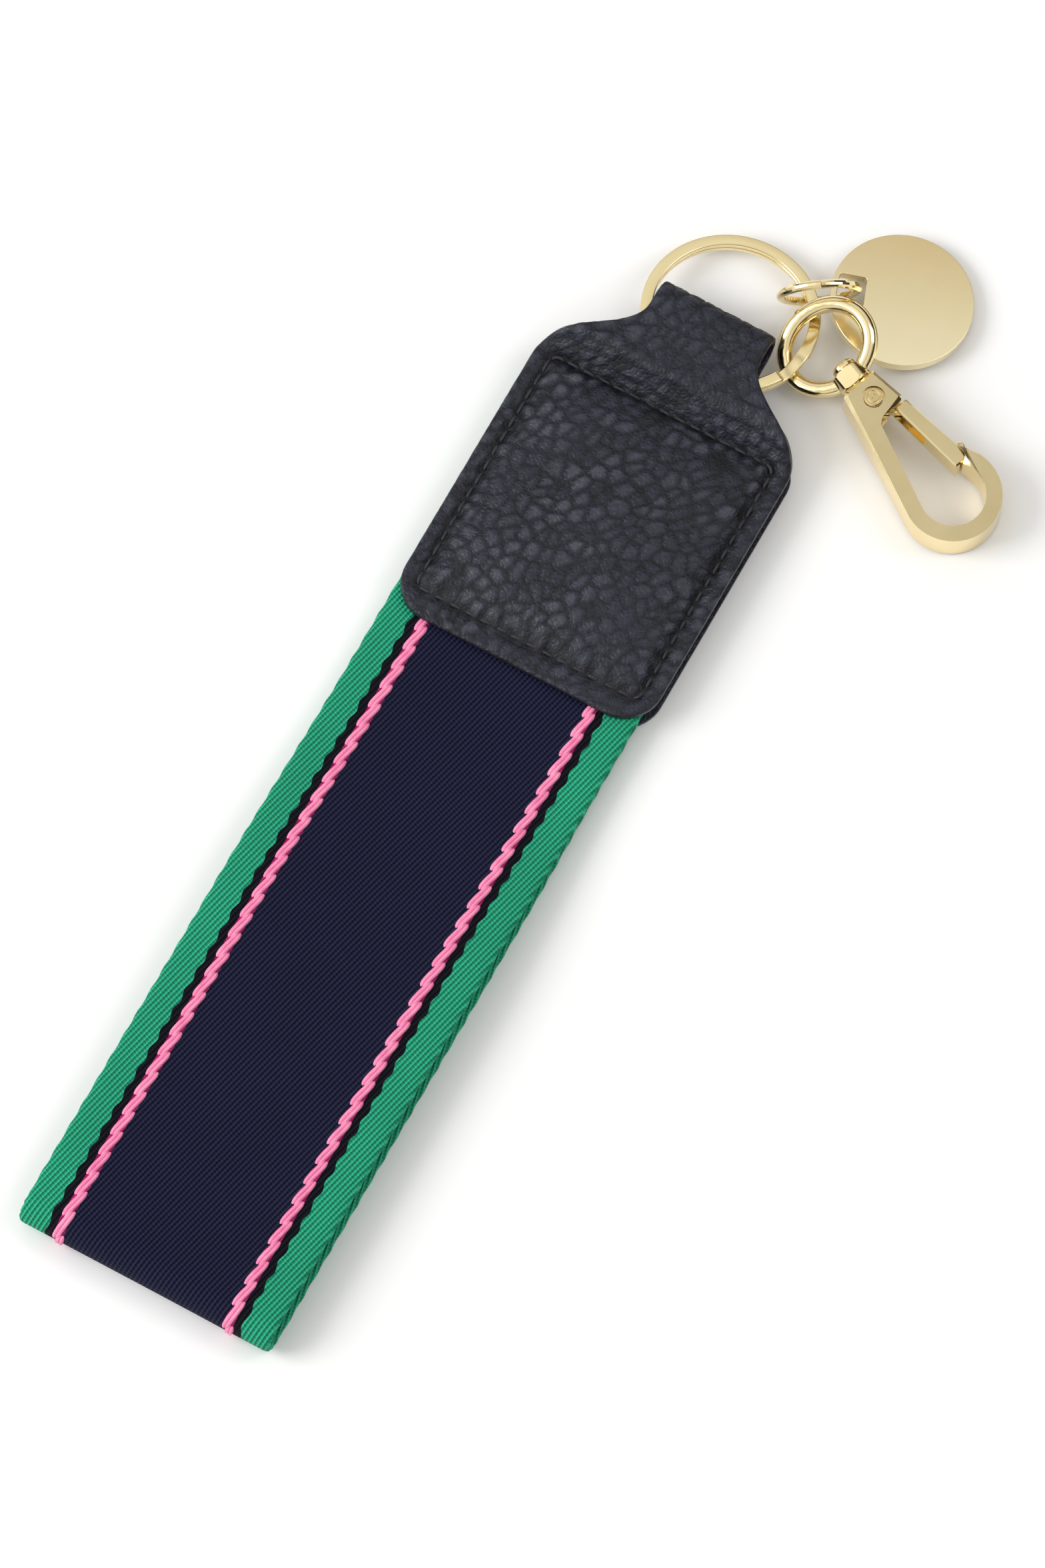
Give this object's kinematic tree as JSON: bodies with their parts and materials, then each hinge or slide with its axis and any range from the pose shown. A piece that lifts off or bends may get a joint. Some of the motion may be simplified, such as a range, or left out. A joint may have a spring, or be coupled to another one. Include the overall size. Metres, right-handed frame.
{
  "type": "wristlet keychain",
  "caption": "Wrist loop of striped webbing sewn into a padded leather tab with a flat split ring, a disc charm on a jump ring and a swivelling spring-gate clasp.",
  "frame": {"origin": "on the flat back face of the leather tab, midway across its width, in the lower half of its length", "axes": "+X across the strap, +Y from the wrist loop towards the metalwork, +Z out of the tab's front face"},
  "size_m": [0.0877, 0.2401, 0.0154],
  "materials": {
    "leather": "pebble-grained navy leather with painted edges",
    "foam": "soft grey foam, out of sight",
    "thread": "navy sewing thread",
    "webbing": "navy twill webbing with a green band and a pink cord line along each edge",
    "gold": "polished pale gold plating",
    "satin_gold": "satin pale gold plating with a polished rim",
    "spring_steel": "plain spring wire"
  },
  "bodies": {
    "tab": {"leather_tab": "leather", "foam_pad": "foam", "seam_thread_front": "thread", "seam_thread_back": "thread", "strap_tails": "webbing"},
    "strap": {"wrist_strap": "webbing"},
    "split_ring": {"key_ring": "gold"},
    "small_ring": {"jump_ring": "gold"},
    "disc": {"disc_charm": "satin_gold"},
    "eye": {"clasp_eye": "gold"},
    "hook": {"hook_body": "gold", "swivel_pin": "gold", "gate_pin": "gold", "gate_spring": "spring_steel"},
    "gate": {"hook_gate": "gold"}
  },
  "joints": [
    {"name": "strap_flex", "type": "hinge", "parent": "tab", "child": "strap", "pos_m": [-0.0009, -0.0383, 0.0033], "axis": [-1, 0, 0], "range_deg": [-70, 70]},
    {"name": "ring_swing", "type": "hinge", "parent": "tab", "child": "split_ring", "pos_m": [0.0015, 0.0332, 0.00734], "axis": [1, 0, 0], "range_deg": [-5, 16]},
    {"name": "jump_turn", "type": "hinge", "parent": "split_ring", "child": "small_ring", "pos_m": [0.01222, 0.05578, 0.00356], "axis": [-0.7065, 0.698, -0.1168], "range_deg": [-4, 10]},
    {"name": "disc_turn", "type": "hinge", "parent": "small_ring", "child": "disc", "pos_m": [0.01791, 0.05968, 0.00369], "axis": [0.5714, 0.2238, 0.7896], "range_deg": [-2, 40]},
    {"name": "eye_turn", "type": "hinge", "parent": "split_ring", "child": "eye", "pos_m": [0.01661, 0.0463, 0.00515], "axis": [0.0715, -0.9838, 0.1646], "range_deg": [-2, 12]},
    {"name": "hook_swivel", "type": "hinge", "parent": "eye", "child": "hook", "pos_m": [0.03185, 0.04268, 0.00554], "axis": [0.9157, -0.3982, -0.0541], "continuous": true},
    {"name": "gate_swing", "type": "hinge", "parent": "hook", "child": "gate", "pos_m": [0.03185, 0.04268, 0.00554], "axis": [-0.0496, 0.0216, -0.9985], "range_deg": [0, 24], "stiffness_Nm_per_rad": 0.06, "springref_deg": -22.92, "deforming": ["gate_spring"]}
  ]
}
